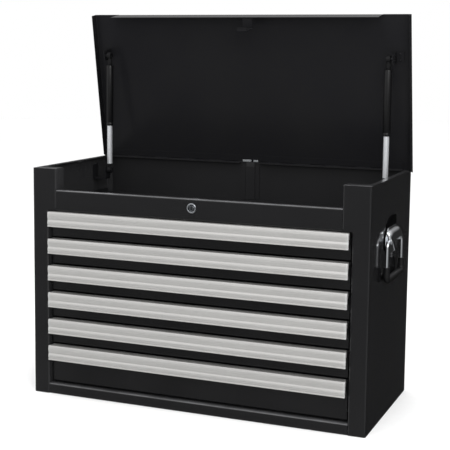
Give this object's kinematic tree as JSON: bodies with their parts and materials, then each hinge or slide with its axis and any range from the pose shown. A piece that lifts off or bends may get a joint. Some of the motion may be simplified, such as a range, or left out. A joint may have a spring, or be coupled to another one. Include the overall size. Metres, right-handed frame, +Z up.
{
  "type": "top tool chest",
  "caption": "Black steel top tool chest: hinged lid on gas struts over an open tray, ball-slide drawers with full-width aluminium pulls, and drop handles at the sides.",
  "frame": {"origin": "middle of the chest's flat underside", "axes": "+X to the chest's right seen from the front, +Y from the front to the back, +Z up"},
  "size_m": [0.7042, 0.322, 0.748],
  "materials": {
    "case_paint": "gloss black powder coat",
    "drawer_paint": "satin black powder coat",
    "pull_aluminium": "satin anodised extrusion",
    "zinc_steel": "bright zinc plate",
    "chrome": "bright chrome plate",
    "strut_paint": "gloss black enamel",
    "grip_vinyl": "matt moulded vinyl"
  },
  "bodies": {
    "case": {"left_side": "case_paint", "right_side": "case_paint", "back_panel": "case_paint", "bottom_pan": "case_paint", "bottom_rail": "case_paint", "top_rail": "case_paint", "tray_floor": "case_paint", "left_rack": "zinc_steel", "right_rack": "zinc_steel", "body_leaf": "case_paint", "hinge_pin": "zinc_steel", "left_lower_bracket": "case_paint", "right_lower_bracket": "case_paint", "lock_housing": "chrome", "lock_nut": "zinc_steel", "lock_bar_guide": "case_paint", "left_handle_backplate": "case_paint", "left_handle_bracket": "chrome", "right_handle_backplate": "case_paint", "right_handle_bracket": "chrome"},
    "lid": {"lid": "case_paint", "lid_leaf": "case_paint", "lid_strike": "case_paint", "left_upper_bracket": "case_paint", "right_upper_bracket": "case_paint"},
    "drawer_1": {"drawer_1": "drawer_paint", "drawer_1_pull": "pull_aluminium", "drawer_1_rail_left": "zinc_steel", "drawer_1_rail_right": "zinc_steel"},
    "drawer_2": {"drawer_2": "drawer_paint", "drawer_2_pull": "pull_aluminium", "drawer_2_rail_left": "zinc_steel", "drawer_2_rail_right": "zinc_steel"},
    "drawer_3": {"drawer_3": "drawer_paint", "drawer_3_pull": "pull_aluminium", "drawer_3_rail_left": "zinc_steel", "drawer_3_rail_right": "zinc_steel"},
    "drawer_4": {"drawer_4": "drawer_paint", "drawer_4_pull": "pull_aluminium", "drawer_4_rail_left": "zinc_steel", "drawer_4_rail_right": "zinc_steel"},
    "drawer_5": {"drawer_5": "drawer_paint", "drawer_5_pull": "pull_aluminium", "drawer_5_rail_left": "zinc_steel", "drawer_5_rail_right": "zinc_steel"},
    "drawer_6": {"drawer_6": "drawer_paint", "drawer_6_pull": "pull_aluminium", "drawer_6_rail_left": "zinc_steel", "drawer_6_rail_right": "zinc_steel"},
    "left_rod": {"left_strut_rod": "chrome"},
    "left_cylinder": {"left_strut_cylinder": "strut_paint"},
    "right_rod": {"right_strut_rod": "chrome"},
    "right_cylinder": {"right_strut_cylinder": "strut_paint"},
    "lock_bar": {"lock_bar": "zinc_steel"},
    "lock_plug": {"lock_plug": "chrome", "lock_cam": "zinc_steel"},
    "left_bail": {"left_handle_bail": "chrome", "left_handle_grip": "grip_vinyl"},
    "right_bail": {"right_handle_bail": "chrome", "right_handle_grip": "grip_vinyl"}
  },
  "joints": [
    {"name": "lid_hinge", "type": "hinge", "parent": "case", "child": "lid", "pos_m": [0, 0.15545, 0.44405], "axis": [1, 0, 0], "range_deg": [0, 80]},
    {"name": "drawer_1_slide", "type": "slide", "parent": "case", "child": "drawer_1", "axis": [0, -1, 0], "range_m": [0, 0.2]},
    {"name": "drawer_2_slide", "type": "slide", "parent": "case", "child": "drawer_2", "axis": [0, -1, 0], "range_m": [0, 0.2]},
    {"name": "drawer_3_slide", "type": "slide", "parent": "case", "child": "drawer_3", "axis": [0, -1, 0], "range_m": [0, 0.2]},
    {"name": "drawer_4_slide", "type": "slide", "parent": "case", "child": "drawer_4", "axis": [0, -1, 0], "range_m": [0, 0.2]},
    {"name": "drawer_5_slide", "type": "slide", "parent": "case", "child": "drawer_5", "axis": [0, -1, 0], "range_m": [0, 0.2]},
    {"name": "drawer_6_slide", "type": "slide", "parent": "case", "child": "drawer_6", "axis": [0, -1, 0], "range_m": [0, 0.2]},
    {"name": "left_strut_swing", "type": "hinge", "parent": "case", "child": "left_rod", "pos_m": [-0.2995, 0.09345, 0.42005], "axis": [1, 0, 0], "range_deg": [0, 89.61]},
    {"name": "left_strut_slide", "type": "slide", "parent": "left_rod", "child": "left_cylinder", "axis": [0, 0.0045, 1], "range_m": [-0.0788, 0]},
    {"name": "right_strut_swing", "type": "hinge", "parent": "case", "child": "right_rod", "pos_m": [0.2995, 0.09345, 0.42005], "axis": [1, 0, 0], "range_deg": [0, 89.61]},
    {"name": "right_strut_slide", "type": "slide", "parent": "right_rod", "child": "right_cylinder", "axis": [0, 0.0045, 1], "range_m": [-0.0788, 0]},
    {"name": "lock_bar_slide", "type": "slide", "parent": "case", "child": "lock_bar", "axis": [0, 0, 1], "range_m": [-0.0081, 0]},
    {"name": "lock_turn", "type": "hinge", "parent": "case", "child": "lock_plug", "pos_m": [0, -0.1525, 0.3875], "axis": [0, 1, 0], "range_deg": [0, 90]},
    {"name": "left_bail_swing", "type": "hinge", "parent": "case", "child": "left_bail", "pos_m": [-0.345, -0.006, 0.334], "axis": [0, 1, 0], "range_deg": [0, 90]},
    {"name": "right_bail_swing", "type": "hinge", "parent": "case", "child": "right_bail", "pos_m": [0.345, -0.006, 0.334], "axis": [0, -1, 0], "range_deg": [0, 90]}
  ],
  "couplings": [
    {"joint": "left_strut_swing", "follows": "lid_hinge", "ratio": 1.1195},
    {"joint": "left_strut_slide", "follows": "lid_hinge", "m_per_rad": -0.056391},
    {"joint": "right_strut_swing", "follows": "lid_hinge", "ratio": 1.1195},
    {"joint": "right_strut_slide", "follows": "lid_hinge", "m_per_rad": -0.056391},
    {"joint": "lock_bar_slide", "follows": "lid_hinge", "m_per_rad": -0.0057296}
  ]
}
